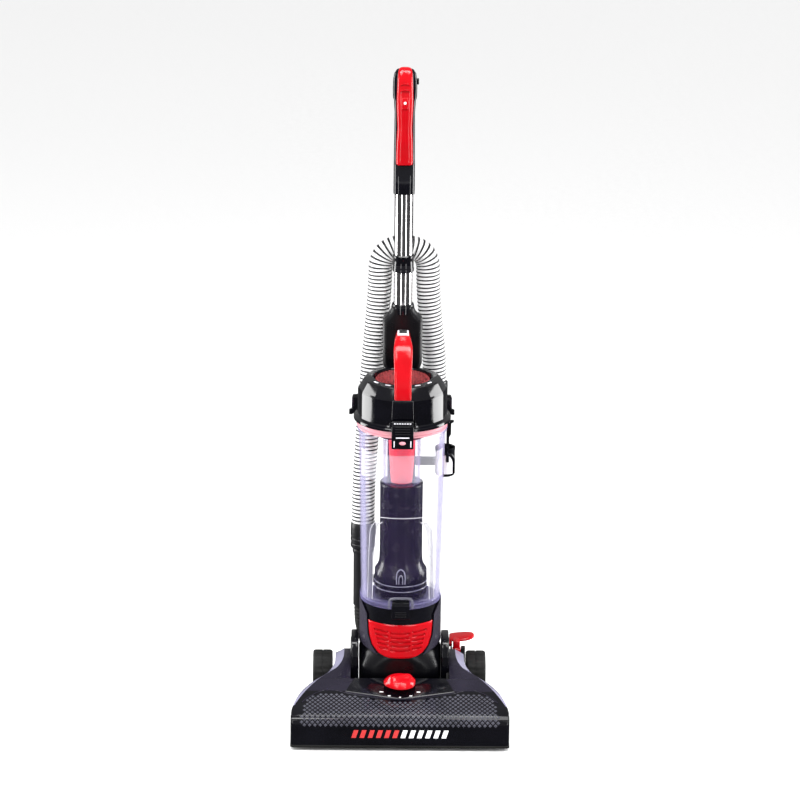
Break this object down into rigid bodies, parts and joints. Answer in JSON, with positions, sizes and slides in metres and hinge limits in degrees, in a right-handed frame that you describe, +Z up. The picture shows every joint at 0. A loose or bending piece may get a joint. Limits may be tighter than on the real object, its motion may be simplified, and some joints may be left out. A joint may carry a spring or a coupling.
{
  "type": "upright vacuum cleaner",
  "caption": "Upright vacuum cleaner: wide floor head, tilting body with a clear dust cup, stretch hose hung behind a steel tube, and a red stick handle.",
  "frame": {"origin": "on the floor, under the middle of the length and width of the cleaner standing upright", "axes": "+Z up, -Y towards the front of the floor head, +X to the right seen from the front"},
  "size_m": [0.345, 0.31, 1.0385],
  "materials": {
    "black_gloss": "polished",
    "black_satin": "satin",
    "red_gloss": "polished",
    "navy_plastic": "satin",
    "grey_plastic": "satin",
    "clear_plastic": "clear",
    "chrome_tube": "polished",
    "steel": "brushed",
    "motor_can": "satin",
    "rubber": "matte",
    "seal_rubber": "satin",
    "bristle": "matte",
    "filter_foam": "matte",
    "filter_paper": "matte",
    "hose_plastic": "satin"
  },
  "bodies": {
    "floor_head": {"nozzle_cover": "black_gloss", "sole_plate": "black_satin", "front_bumper": "rubber", "texture_panel": "black_satin", "dial_panel": "black_gloss", "yoke_arm_left": "black_gloss", "yoke_arm_right": "black_gloss", "wheel_axles": "steel", "suction_duct": "black_satin", "drive_belt": "rubber", "brush_bearings": "black_satin", "sole_screws": "steel", "pedal_bracket": "black_satin", "pedal_spring": "steel"},
    "wheel_left": {"rear_wheel_left": "black_satin"},
    "wheel_right": {"rear_wheel_right": "black_satin"},
    "carriage": {"height_carriage": "black_satin"},
    "roller_left": {"front_roller_left": "black_satin"},
    "roller_right": {"front_roller_right": "black_satin"},
    "brush": {"brush_roll": "black_satin", "brush_bristles": "bristle"},
    "dial": {"height_knob": "red_gloss"},
    "pedal": {"release_pedal": "red_gloss"},
    "upright": {"base_housing": "black_gloss", "exhaust_grille": "red_gloss", "exhaust_filter": "filter_paper", "base_band": "black_gloss", "cradle_cheeks": "grey_plastic", "motor_stator": "motor_can", "rear_spine": "black_gloss", "neck_block": "black_gloss", "tube_lower": "chrome_tube", "tube_upper": "chrome_tube", "tube_collar": "black_gloss", "handle_body": "black_gloss", "handle_grip": "red_gloss", "cord_hook_lower": "black_satin", "cord_gland": "rubber", "side_brackets": "black_gloss", "tool_holder": "black_gloss", "inlet_port": "black_satin", "suction_pipe": "black_satin", "hose_cuff": "black_satin", "hose": "hose_plastic"},
    "rotor": {"motor_rotor": "steel", "fan_impeller": "motor_can"},
    "switch": {"power_switch": "black_satin"},
    "lead_hook": {"cord_hook_upper": "black_satin"},
    "cup": {"dust_cup": "clear_plastic", "cup_floor": "clear_plastic"},
    "floor_lever": {"floor_latch": "black_gloss"},
    "lid": {"lid_shell": "black_gloss", "lid_seal": "seal_rubber", "carry_handle": "red_gloss", "pre_filter": "filter_foam", "inner_cylinder": "clear_plastic", "cyclone_cone": "red_gloss", "shroud": "navy_plastic"},
    "lid_clip": {"lid_latch": "black_gloss"},
    "button": {"release_button": "black_satin"}
  },
  "joints": [
    {"name": "recline", "type": "hinge", "parent": "floor_head", "child": "upright", "pos_m": [0, 0, 0.098], "axis": [-1, 0, 0], "range_deg": [0, 60]},
    {"name": "wheel_left_spin", "type": "hinge", "parent": "floor_head", "child": "wheel_left", "pos_m": [-0.124, 0.078, 0.037], "axis": [1, 0, 0], "continuous": true},
    {"name": "wheel_right_spin", "type": "hinge", "parent": "floor_head", "child": "wheel_right", "pos_m": [0.124, 0.078, 0.037], "axis": [1, 0, 0], "continuous": true},
    {"name": "dial_turn", "type": "hinge", "parent": "floor_head", "child": "dial", "pos_m": [0, -0.087, 0.09], "axis": [0, 0, 1], "range_deg": [0, 180]},
    {"name": "carriage_lift", "type": "slide", "parent": "floor_head", "child": "carriage", "axis": [0, 0, 1], "range_m": [-0.006, 0]},
    {"name": "roller_left_spin", "type": "hinge", "parent": "carriage", "child": "roller_left", "pos_m": [-0.048, -0.077, 0.009], "axis": [1, 0, 0], "continuous": true},
    {"name": "roller_right_spin", "type": "hinge", "parent": "carriage", "child": "roller_right", "pos_m": [0.048, -0.077, 0.009], "axis": [1, 0, 0], "continuous": true},
    {"name": "brush_spin", "type": "hinge", "parent": "floor_head", "child": "brush", "pos_m": [0, -0.111, 0.027], "axis": [1, 0, 0], "continuous": true},
    {"name": "motor_spin", "type": "hinge", "parent": "upright", "child": "rotor", "pos_m": [0, 0, 0.098], "axis": [1, 0, 0], "continuous": true},
    {"name": "pedal_press", "type": "hinge", "parent": "floor_head", "child": "pedal", "pos_m": [0.092, 0.052, 0.086], "axis": [-1, 0, 0], "range_deg": [0, 12], "stiffness_Nm_per_rad": 1, "springref_deg": -3.44, "deforming": ["pedal_spring"]},
    {"name": "switch_slide", "type": "slide", "parent": "upright", "child": "switch", "axis": [0, 0, 1], "range_m": [0, 0.006]},
    {"name": "hook_turn", "type": "hinge", "parent": "upright", "child": "lead_hook", "pos_m": [0, 0.12, 0.44], "axis": [0, 1, 0], "range_deg": [0, 180]},
    {"name": "cup_release", "type": "slide", "parent": "upright", "child": "cup", "axis": [0, -0.9659, 0.2588], "range_m": [0, 0.16]},
    {"name": "lid_lift", "type": "slide", "parent": "cup", "child": "lid", "axis": [0, 0, 1], "range_m": [0, 0.28]},
    {"name": "clip_open", "type": "hinge", "parent": "lid", "child": "lid_clip", "pos_m": [0, -0.0792, 0.513], "axis": [-1, 0, 0], "range_deg": [0, 25], "stiffness_Nm_per_rad": 0.2, "springref_deg": -8.59},
    {"name": "button_press", "type": "slide", "parent": "lid", "child": "button", "axis": [0, 0, -1], "range_m": [0, 0.003], "stiffness_N_per_m": 300, "springref_m": -0.002},
    {"name": "floor_lever_pull", "type": "hinge", "parent": "cup", "child": "floor_lever", "pos_m": [0, -0.0688, 0.2135], "axis": [-1, 0, 0], "range_deg": [0, 14], "stiffness_Nm_per_rad": 0.1, "springref_deg": -5.73}
  ],
  "couplings": [
    {"joint": "carriage_lift", "follows": "dial_turn", "m_per_rad": -0.0019},
    {"joint": "brush_spin", "follows": "motor_spin", "ratio": 0.46667}
  ]
}
